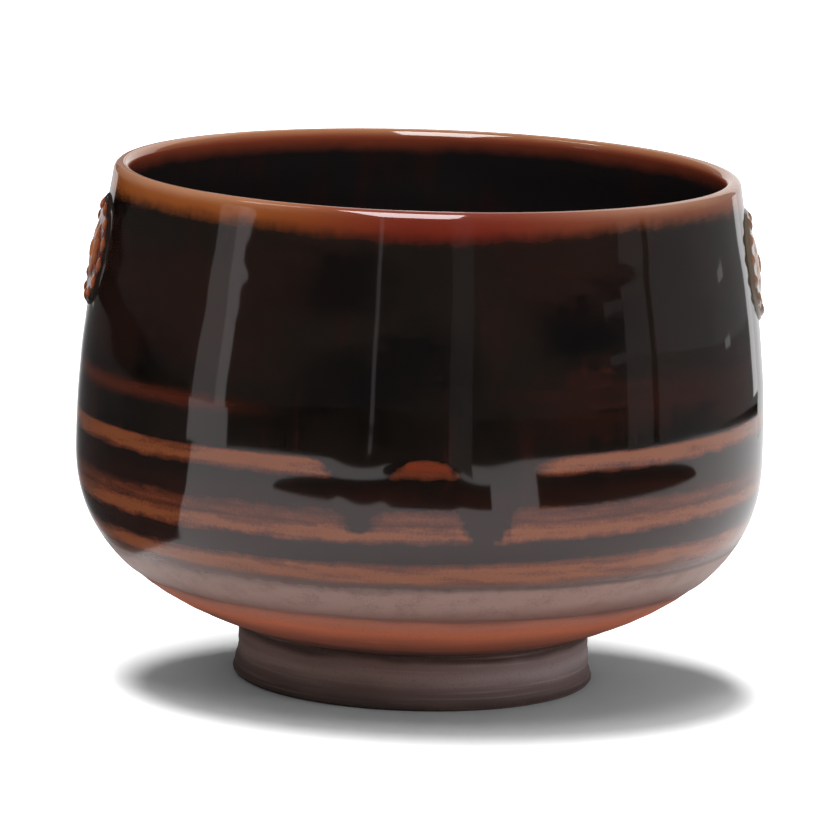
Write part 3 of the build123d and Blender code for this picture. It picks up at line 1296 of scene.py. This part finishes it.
@dataclass(frozen=True)
class OuterGlaze:
    """The coat on the outside, from the crest of the lip to the glaze line, where its edge rolls in."""

    outline: Outline
    coat: float = 0.26 * MM
    bury: float = 0.15 * MM
    tuck: float = 0.5
    roll: float = 1.4 * MM
    run_depth: float = 0.07 * MM
    step: float = 0.5 * MM
    sides: int = 480
    waves: tuple[Wave, ...] = (
        Wave(0.018 * MM, 1, 10.4 * MM),
        Wave(0.012 * MM, 9, 17 * MM, 0.7),
        Wave(0.03 * MM, 3, -31 * MM, 2.1),
        Wave(0.02 * MM, 7, 23 * MM, 4.0),
    )
    waves_from: float = 47 * MM
    waves_below_lip: float = 1 * MM
    waves_fade: float = 8 * MM

    def run(self, drip: Drip, bearing: np.ndarray, height: np.ndarray) -> np.ndarray:
        """Find how far one run of glaze stands out.

        Args:
            drip: The run.
            bearing: The places' bearings, in radians.
            height: Their heights, in metres.

        Returns:
            The relief at each place.
        """
        level = height / MM
        width = drip.half_width * np.clip((level - drip.tip) / drip.length, 0.0, 1.0) ** DRIP_ROUNDNESS
        aside = np.mod(np.degrees(bearing) - drip.middle + 180, 360) - 180
        across = np.clip(1 - (aside / np.maximum(width, TINY)) ** 2, 0.0, 1.0) * (level > drip.tip)
        depth = self.run_depth * min(1.0, drip.length / FULL_DRIP) ** 3
        return depth * across * eased(level, drip.tip + 2 * drip.length, drip.tip + drip.length)

    def build(self, finish: IronGlaze, effects: Effects) -> bpy.types.Object:
        """Build the coat as a closed shell, with its back sunk into the clay.

        Args:
            finish: The glaze's finish.
            effects: The shared shader groups.

        Returns:
            The piece.
        """
        line = self.outline.glaze_line
        front = evenly(self.outline.outside(self.coat, self.tuck), self.step)
        front = front[front[:, 1] > line]
        back = evenly(self.outline.outside(-self.bury), self.step)
        back = back[back[:, 1] > line]
        sink = (self.coat + self.bury) * (1 - rounded((front[:, 1] - line) / self.roll))
        front = front - outward_normals(front) * sink[:, None]
        top = self.outline.bowl_height - self.waves_below_lip
        throwing = Throwing(self.waves, bottom=self.waves_from, top=top, fade=self.waves_fade)

        def relief(bearing: np.ndarray, height: np.ndarray) -> np.ndarray:
            """Add the runs of glaze to the unevenness of the wall."""
            return throwing(bearing, height) + sum(self.run(drip, bearing, height) for drip in finish.drips)

        piece = turned("outer_coat", np.vstack([front, back[::-1]]), self.sides, relief)
        dress(piece, "outer_glaze", "iron_glaze", finish.material(effects))
        return piece


@dataclass(frozen=True)
class InnerGlaze:
    """The coat on the inside, from the crest of the lip over the floor."""

    outline: Outline
    coat: float = 0.26 * MM
    bury: float = 0.15 * MM
    front_step: float = 0.7 * MM
    back_step: float = 1.4 * MM
    sides: int = 256
    waves: tuple[Wave, ...] = (
        Wave(0.08 * MM, 1, 12 * MM),
        Wave(0.04 * MM, 3, -27 * MM, 1.0),
    )
    waves_over_pool: float = 4 * MM
    waves_below_lip: float = 1 * MM

    def build(self, finish: LinerGlaze, effects: Effects) -> bpy.types.Object:
        """Build the coat as a closed shell, with its back sunk into the clay.

        Args:
            finish: The glaze's finish.
            effects: The shared shader groups.

        Returns:
            The piece.
        """
        front = evenly(self.outline.inside(self.coat), self.front_step)[::-1]
        back = evenly(self.outline.inside(-self.bury), self.back_step)
        section = np.vstack([front, back])
        section[0, 0] = section[-1, 0] = 0.0
        bottom = self.outline.pool_height + self.waves_over_pool
        throwing = Throwing(self.waves, bottom=bottom, top=self.outline.bowl_height - self.waves_below_lip)
        piece = turned("inner_coat", section, self.sides, throwing)
        dress(piece, "inner_glaze", "liner_glaze", finish.material(effects))
        return piece


class Side(Enum):
    """The two sides that carry a medallion."""

    LEFT = "medallion_left"
    RIGHT = "medallion_right"


def soft_max(*heights: np.ndarray, melt: float) -> np.ndarray:
    """Join heights as a coat of glaze would, filling the hollow where they meet."""
    return melt * np.log(sum(np.exp(height / melt) for height in heights))


@dataclass(frozen=True)
class Medallion:
    """A round pressed medallion: beads round a flower on a low dome, on the wall."""

    outline: Outline
    side: Side
    radius: float = 9.8 * MM
    bearing: float = math.radians(86.0)
    pad: float = 0.6 * MM
    edge_round: float = 0.5 * MM
    bead_count: int = 14
    bead_radius: float = 1.5 * MM
    bead_relief: float = 0.75 * MM
    margin: float = 0.35 * MM
    dome_rise: float = 0.8 * MM
    petal_count: int = 10
    petal_relief: float = 0.22 * MM
    petal_sink: float = 0.05 * MM
    heart_radius: float = 1.6 * MM
    heart_relief: float = 0.35 * MM
    flood: float = 0.38 * MM
    flood_width: float = 1.8 * MM
    flood_shown: float = 0.55
    melt: float = 0.11 * MM
    bury: float = 0.3 * MM
    back_depth: float = 1.2 * MM
    rings: int = 110
    spokes: int = 280

    def relief(self, reach: np.ndarray, turn: np.ndarray) -> np.ndarray:
        """Return the medallion's height over the wall.

        Args:
            reach: Distances from its middle.
            turn: Angles round its middle, in radians.

        Returns:
            The heights.
        """
        bead_circle = self.radius - self.margin - self.bead_radius
        dome_radius = bead_circle - self.bead_radius - self.margin
        pad = self.pad * rounded((self.radius - reach) / self.edge_round)
        pad = pad + self.flood * eased(reach, self.radius, self.radius - self.flood_width)

        pitch = 2 * math.pi / self.bead_count
        aside = (np.mod(turn, pitch) - pitch / 2) * bead_circle
        ball = self.bead_radius**2 - (reach - bead_circle) ** 2 - aside**2
        bead = self.pad + self.bead_relief - self.bead_radius + np.sqrt(np.clip(ball, 0.0, None))

        share = np.clip(1 - (reach / dome_radius) ** 2, 0.0, 1.0)
        dome = self.pad + self.dome_rise * share
        pitch = 2 * math.pi / self.petal_count
        middle = (self.heart_radius + dome_radius) / 2
        across = (np.mod(turn, pitch) - pitch / 2) * reach / (middle * pitch / 2)
        along = (reach - middle) / ((dome_radius - self.heart_radius) / 2)
        crown = np.sqrt(np.clip(1 - across**2 - along**2, 0.0, None))
        petal = dome + self.petal_relief * crown - self.petal_sink

        heart_share = np.clip(1 - (reach / self.heart_radius) ** 2, 0.0, 1.0)
        heart = self.pad + self.dome_rise + self.heart_relief * np.sqrt(heart_share)
        return soft_max(
            pad,
            bead * (ball > 0),
            dome * (share > 0),
            petal * (share > 0),
            heart * (heart_share > 0),
            melt=self.melt,
        )

    def build(self, finish: bpy.types.Material) -> bpy.types.Object:
        """Build the medallion as a patch on the wall, with its back sunk into the clay.

        Args:
            finish: The medallion's material.

        Returns:
            The piece.
        """
        low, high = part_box(self.side.value)
        middle = (low.z + high.z) / 2
        facing = self.bearing if self.side is Side.RIGHT else -self.bearing
        wall = self.outline.outside(0.0)
        wall = wall[wall[:, 1] > self.outline.belly_height][::-1]
        below, at, above = np.interp([middle - MM, middle, middle + MM], wall[:, 1], wall[:, 0])
        lean = math.atan2(below - above, 2 * MM)

        turns, reaches = np.meshgrid(
            np.linspace(0.0, 2 * math.pi, self.spokes, endpoint=False),
            np.linspace(0.0, self.radius, self.rings)[1:],
        )
        top = self.relief(np.zeros(1), np.zeros(1))
        lift = np.concatenate([top, self.relief(reaches, turns).ravel(), np.full(self.spokes, -self.bury)])
        reach = np.concatenate([[0.0], reaches.ravel(), reaches[-1]])
        turn = np.concatenate([[0.0], turns.ravel(), turns[-1]])
        heights = middle + reach * np.sin(turn) * math.cos(lean)
        radii = np.interp(heights, wall[:, 1], wall[:, 0])
        bearings = facing + np.arcsin(reach * np.cos(turn) / radii)
        points = np.vstack([
            spots(radii + lift * math.cos(lean), bearings, heights + lift * math.sin(lean)),
            spots(at - self.back_depth, facing, middle),
        ])
        back = len(points) - 1
        faces = fan_faces(0, 1, self.spokes)
        faces += ring_faces(self.spokes, self.rings, first=1)
        faces += fan_faces(back, back - self.spokes, self.spokes, from_outside=True)
        piece = new_piece(f"{self.side.value}_pressed", points, faces)

        flooded = self.pad + self.flood_shown * self.flood
        shown = (np.append(lift, 0.0) - flooded) / (self.pad + self.bead_relief - flooded)
        relief = piece.data.attributes.new("relief", "FLOAT", "POINT").data
        relief.foreach_set("value", np.clip(shown, 0.0, 1.0).astype(np.float32))
        dress(piece, self.side.value, "medallion_glaze", finish)
        return piece


# ------------------------------------------------------------------------------- studio
@dataclass(frozen=True)
class Viewpoint:
    """Where the camera stands and how it looks at the bowl."""

    bearing: float = math.radians(-3.0)
    distance: float = 1.0347
    height: float = 0.228
    aim: float = 0.0443
    lens: float = 262.6
    sensor: float = 36.0
    roll: float = math.radians(1.81)
    near: float = 0.05
    far: float = 30.0

    def place(self) -> bpy.types.Object:
        """Make the scene's camera.

        Returns:
            The camera.
        """
        data = bpy.data.cameras.new("viewpoint")
        data.lens = self.lens
        data.sensor_width = self.sensor
        data.clip_start = self.near
        data.clip_end = self.far
        camera = put("viewpoint", data)
        spot = Vector(spots(self.distance, self.bearing, self.height))
        look = (Vector((0, 0, self.aim)) - spot).to_track_quat("-Z", "Y").to_matrix().to_4x4()
        camera.matrix_world = Matrix.Translation(spot) @ look @ Matrix.Rotation(self.roll, 4, "Z")
        bpy.context.scene.camera = camera
        return camera


def glowing(name: str, glow: float) -> bpy.types.Material:
    """Make a material that glows evenly in white.

    Args:
        name: The material's name.
        glow: Its strength.

    Returns:
        The material.
    """
    material = bpy.data.materials.new(name)
    bench = bench_on(material)
    bench.show(bench.add("ShaderNodeEmission", {"Color": WHITE, "Strength": glow}))
    return material


def only_mirrored(piece: bpy.types.Object, material: bpy.types.Material) -> None:
    """Hide a piece of the studio from all but the glaze's reflections.

    Args:
        piece: The piece.
        material: The material that it gets.
    """
    piece.data.materials.append(material)
    piece.visible_camera = False
    piece.visible_diffuse = False
    piece.visible_shadow = False


@dataclass(frozen=True)
class Card:
    """A glowing upright card round the bowl, with bearings in degrees, seen only in reflections.

    The taper is how much further from its second side the top of its first side stands than the bottom, in
    degrees. The approach is how much nearer its second side stands than its first. The sill's drop is how far
    its bottom falls along the way. The edge lists heights, with how far the second side swings out at each.
    """

    name: str
    bearing_from: float
    bearing_to: float
    distance: float
    bottom: float
    top: float
    glow: float
    taper: float = 0.0
    approach: float = 0.0
    sill_drop: float = 0.0
    edge: tuple[Pair, ...] = ()
    panels: int = 24

    def build(self) -> None:
        """Stand the card round the bowl."""
        levels = [0.0, *((height - self.bottom) / (self.top - self.bottom) for height, _ in self.edge), 1.0]
        swings = [0.0, *(swing for _, swing in self.edge), 0.0]
        share = np.linspace(0.0, 1.0, self.panels + 1)[:, None]
        level = np.array(levels)
        bearings = self.bearing_from + share * (self.bearing_to - self.bearing_from)
        bearings = bearings + share * np.array(swings) - (1 - share) * level * self.taper
        sill = self.bottom - share * self.sill_drop
        heights = sill + level * (self.top - sill)
        places = spots(self.distance - share * self.approach, np.radians(bearings), heights)
        card = new_piece(self.name, places.reshape(-1, 3), sheet_faces(self.panels + 1, len(levels)))
        only_mirrored(card, glowing(self.name, self.glow))


# The points of the strip's uneven side: a height in metres, and how far it swings out there in degrees.
STRIP_EDGE = ((0.115, 0.0), (0.123, 1.0), (0.13, 3.2), (0.136, 2.6), (0.143, 0.4))


@dataclass(frozen=True)
class DarkArc:
    """A dark leaf-shaped arc on the floor, with a gap across it, seen only in reflections.

    Its bearings and its gap are in degrees. Its inner and outer edges swell away from the radius of its tips.
    """

    name: str
    bearing_from: float
    bearing_to: float
    tip_radius: float
    inner_swell: float
    outer_swell: float
    gap: Pair = (0.0, 0.0)
    lift: float = 0.001
    steps: int = 140

    def build(self) -> None:
        """Lay the arc on the floor."""
        share = np.linspace(-1.0, 1.0, self.steps + 1)
        swell = np.sqrt(np.clip(1 - share**2, 0.0, None))
        edges = [self.tip_radius - self.inner_swell * swell, self.tip_radius + self.outer_swell * swell]
        bearings = (self.bearing_from + self.bearing_to + share * (self.bearing_to - self.bearing_from)) / 2
        places = spots(np.stack(edges, axis=-1), np.radians(bearings)[:, None], self.lift)
        middles = (bearings[:-1] + bearings[1:]) / 2
        faces = [
            face for face, middle in zip(sheet_faces(self.steps + 1, 2), middles)
            if not self.gap[0] < middle < self.gap[1]
        ]
        only_mirrored(new_piece(self.name, places.reshape(-1, 3), faces), glowing(self.name, 0.0))


@dataclass(frozen=True)
class Lamp:
    """A soft light that the glaze doesn't mirror."""

    name: str
    size: Pair
    power: float

    def hang(self, spot: Vector, turn: Matrix) -> None:
        """Hang the light.

        Args:
            spot: Its place.
            turn: How it is turned from facing down.
        """
        data = bpy.data.lights.new(self.name, "AREA")
        data.shape = "RECTANGLE"
        data.size, data.size_y = self.size
        data.energy = self.power
        lamp = put(self.name, data)
        lamp.visible_glossy = False
        lamp.matrix_world = Matrix.Translation(spot) @ turn


@dataclass(frozen=True)
class Studio:
    """The white floor, the soft lights and what the glaze mirrors.

    The glaze mirrors a table: the floor inside an ellipse. The camera sees the floor white but for the bowl's
    shadow, whose outline is painted: a glow that only the camera sees is faint inside the shade's inner
    ellipse and lifts the floor to white at its outer one. The floor has a hole under the foot ring, so that
    the bowl's underside is lit.
    """

    floor_radii: Pair = (0.0285, 5.6)
    floor_sides: int = 96
    floor_white: Colour = (0.95, 0.95, 0.95, 1.0)
    table_middle: Pair = (0.036, -0.132)
    table_reach: Pair = (0.455, 0.42)
    shade_middle: Pair = (0.0045, -0.012)
    shade_inner: Pair = (0.0495, 0.034)
    shade_outer: Pair = (0.062, 0.066)
    shade_lift: float = 0.005
    far_glow: float = 1.0
    overhead: Lamp = Lamp("overhead", (0.53, 1.68), 19.0)
    overhead_spot: tuple[float, float, float] = (-0.06, 0.0, 1.2)
    fill: Lamp = Lamp("fill", (0.3, 0.3), 2.9)
    fill_bearing: float = math.radians(68.0)
    fill_rise: float = math.radians(8.0)
    fill_distance: float = 1.2
    softbox_distance: float = 1.2
    softbox_rise: float = math.radians(60.0)
    softbox_half: Pair = (0.29, 0.64)
    softbox_shift: float = -0.13
    softbox_glow: float = 11.0
    ambient: float = 0.2
    mirror_ambient: float = 0.032
    # After its name, a card has its two bearings, distance, bottom, top and glow, and then its unevenness.
    cards: tuple[Card, ...] = (
        Card("strip_card", -80.5, -66.0, 0.44, 0.0, 0.2, 0.6, -4.0, edge=STRIP_EDGE),
        Card("strip_edge_card", -70.0, -66.0, 0.439, 0.0, 0.2, 1.0, edge=STRIP_EDGE),
        Card("slit_card", -18.6, -17.4, 0.6, 0.02, 0.4, 0.45),
        Card("haze_card", 6.0, 13.0, 0.45, 0.0, 0.4, 0.13),
        Card("strip_foot_card", -80.8, -65.0, 0.435, 0.0, 0.03, 0.95),
        Card("window_card", 65.7, 75.9, 0.5, 0.0, 0.15, 0.17),
        Card("wide_window_card", 78.3, 147.0, 0.49, 0.0, 0.15, 0.16, 0.0, 0.15),
        Card("upper_window_card", 65.7, 75.9, 0.49, 0.078, 0.15, 0.21),
        Card("upper_wide_window_card", 78.3, 147.0, 0.48, 0.074, 0.15, 0.24, 0.0, 0.15, 0.04),
        Card("high_catch_card", 58.0, 66.0, 0.48, 0.116, 0.131, 0.18),
        Card("low_catch_card", 59.5, 66.0, 0.48, 0.074, 0.088, 0.2),
        Card("high_spot_card", 113.4, 117.4, 0.39, 0.073, 0.081, 0.7),
        Card("low_spot_card", 114.2, 118.2, 0.39, 0.047, 0.055, 0.7),
        Card("lip_spot_card", -106.0, -98.0, 0.6, 0.8, 1.6, 9.0),
        Card("side_card", 134.0, 141.0, 0.285, 0.016, 0.09, 1.3),
        Card("backdrop_card", 140.5, 186.0, 0.285, 0.0, 0.4, 1.0),
        Card("left_glow_card", 186.0, 200.0, 0.285, 0.022, 0.4, 0.2),
        Card("left_flare_card", 186.0, 213.0, 0.284, 0.033, 0.09, 0.7),
    )
    arcs: tuple[DarkArc, ...] = (
        DarkArc("long_arc", -47.0, 93.0, 0.29, 0.035, 0.115, (18.5, 33.0)),
        DarkArc("short_arc", -12.5, 10.0, 0.47, 0.11, 0.1),
    )
    sheet_outline: tuple[Pair, ...] = (
        (-0.083, -0.031),
        (-0.073, -0.008),
        (-0.067, 0.012),
        (-0.062, 0.03),
        (-0.06, 0.06),
        (-0.064, 0.12),
        (-0.075, 0.3),
        (-0.1, 0.6),
        (-0.65, 0.6),
        (-0.65, -0.125),
    )
    sheet_lift: float = 0.001
    sheet_pivot: Pair = (-0.058, 0.0)
    sheet_turn: float = math.radians(7.7)
    sheet_least_turn: float = 0.01
    sheet_falloff: float = 2.5
    sheet_glow: float = 0.03

    @staticmethod
    def reach(bench: NodeBench, middle: Pair, size: Pair) -> Socket:
        """Find how far out a place on the floor is from an ellipse's middle.

        Args:
            bench: The bench of the floor's material.
            middle: The ellipse's middle.
            size: Its half size along X and Y.

        Returns:
            The share, which is 1 on the ellipse.
        """
        place = bench.add("ShaderNodeTexCoord").outputs["Object"]
        share = bench.vector("DIVIDE", bench.vector("SUBTRACT", place, (*middle, 0.0)), (*size, 1.0))
        return bench.add("ShaderNodeVectorMath", {0: share}, operation="LENGTH").outputs["Value"]

    def floor(self) -> None:
        """Lay the floor, which is a table that ends in the glaze, and clear from below."""
        turns = np.linspace(0.0, 2 * math.pi, self.floor_sides, endpoint=False)
        rounds = np.vstack([spots(radius, turns, 0.0) for radius in self.floor_radii])
        piece = new_piece("floor", rounds, ring_faces(self.floor_sides, len(self.floor_radii)))
        material = bpy.data.materials.new("floor")
        bench = bench_on(material)
        rays = bench.add("ShaderNodeLightPath").outputs
        far = bench.math("GREATER_THAN", self.reach(bench, self.table_middle, self.table_reach), 1.0)
        white = bench.mix(bench.math("MULTIPLY", rays["Is Glossy Ray"], far), self.floor_white, BLACK)
        matte = bench.add("ShaderNodeBsdfDiffuse", {"Color": white})
        # Painted shadow outline: a glow for camera rays only, faint inside the inner ellipse and full outside
        # the outer one.
        inner = self.reach(bench, self.shade_middle, self.shade_inner)
        outer = self.reach(bench, self.shade_middle, self.shade_outer)
        fade = bench.math("DIVIDE", bench.math("SUBTRACT", inner, 1.0), bench.math("SUBTRACT", inner, outer))
        glow = bench.blend(bench.step(fade, 0.0, 1.0), self.shade_lift, self.far_glow)
        glow = bench.math("MULTIPLY", rays["Is Camera Ray"], glow)
        lift = bench.add("ShaderNodeEmission", {"Strength": glow})
        both = bench.add("ShaderNodeAddShader", {0: matte.outputs[0], 1: lift.outputs[0]})
        below = bench.add("ShaderNodeNewGeometry").outputs["Backfacing"]
        clear = bench.add("ShaderNodeBsdfTransparent")
        bench.show(bench.add("ShaderNodeMixShader", {0: below, 1: both.outputs[0], 2: clear.outputs[0]}))
        piece.data.materials.append(material)

    def sheet(self) -> None:
        """Lay the dark sheet that the glaze mirrors at the left, bright where it starts at the back."""
        corners = np.array([(x, y, self.sheet_lift) for x, y in self.sheet_outline])
        material = bpy.data.materials.new("left_sheet")
        bench = bench_on(material)
        place = bench.add("ShaderNodeTexCoord").outputs["Object"]
        parts = bench.add("ShaderNodeSeparateXYZ", {0: place}).outputs
        aside = bench.math("SUBTRACT", self.sheet_pivot[0], parts["X"])
        turn = bench.math("ARCTAN2", aside, bench.math("SUBTRACT", parts["Y"], self.sheet_pivot[1]))
        near = bench.math("DIVIDE", self.sheet_turn, bench.math("MAXIMUM", turn, self.sheet_least_turn))
        glow = bench.math("MINIMUM", bench.math("POWER", near, self.sheet_falloff), 1.0)
        glow = bench.math("ADD", glow, self.sheet_glow)
        bench.show(bench.add("ShaderNodeEmission", {"Color": WHITE, "Strength": glow}))
        only_mirrored(new_piece("left_sheet", corners, [tuple(range(len(corners)))]), material)

    def softbox(self) -> None:
        """Hang the bright front that the lip mirrors, facing the bowl from above the camera."""
        half_width, half_height = self.softbox_half
        out = Vector((0.0, -math.cos(self.softbox_rise), math.sin(self.softbox_rise)))
        up = half_height * Vector((0.0, math.sin(self.softbox_rise), math.cos(self.softbox_rise)))
        side = Vector((half_width, 0.0, 0.0))
        middle = out * self.softbox_distance + Vector((self.softbox_shift, 0.0, 0.0))
        corners = np.array([middle - side - up, middle + side - up, middle + side + up, middle - side + up])
        front = new_piece("softbox_card", corners, [(0, 1, 2, 3)])
        only_mirrored(front, glowing("softbox_card", self.softbox_glow))

    def sky(self) -> None:
        """Make the world: white to the camera, even light for matte surfaces, dark in the glaze."""
        world = bpy.data.worlds.new("sky")
        bpy.context.scene.world = world
        bench = bench_on(world)
        rays = bench.add("ShaderNodeLightPath").outputs
        strength = bench.blend(rays["Is Glossy Ray"], self.ambient, self.mirror_ambient)
        strength = bench.blend(rays["Is Camera Ray"], strength, 1.0)
        glow = bench.add("ShaderNodeBackground", {"Color": WHITE, "Strength": strength})
        bench.show(glow, "ShaderNodeOutputWorld")

    def lamps(self) -> None:
        """Hang the light over the bowl and the weaker one at the right of the camera."""
        self.overhead.hang(Vector(self.overhead_spot), Matrix())
        out = Vector(spots(1.0, self.fill_bearing, math.tan(self.fill_rise))).normalized()
        self.fill.hang(out * self.fill_distance, out.to_track_quat("Z", "Y").to_matrix().to_4x4())

    def build(self) -> None:
        """Build the whole studio."""
        self.floor()
        self.sheet()
        self.softbox()
        self.sky()
        self.lamps()
        for part in (*self.cards, *self.arcs):
            part.build()
        log.info("studio: %d cards and %d arcs", len(self.cards), len(self.arcs))


def main() -> None:
    """Build the bowl and its studio."""
    logging.basicConfig(level=logging.INFO)
    bpy.context.scene.view_settings.view_transform = "Standard"
    Viewpoint().place()
    outline = Outline.from_frame()
    effects = Effects()
    ClayBody(outline).build(RED_CLAY, effects)
    FootRing(outline).build(GREY_CLAY, effects)
    OuterGlaze(outline).build(IronGlaze(), effects)
    InnerGlaze(outline).build(LinerGlaze(), effects)
    pressed = MedallionGlaze().material(effects)
    for side in Side:
        Medallion(outline, side).build(pressed)
    Studio().build()


if __name__ == "__main__":
    main()
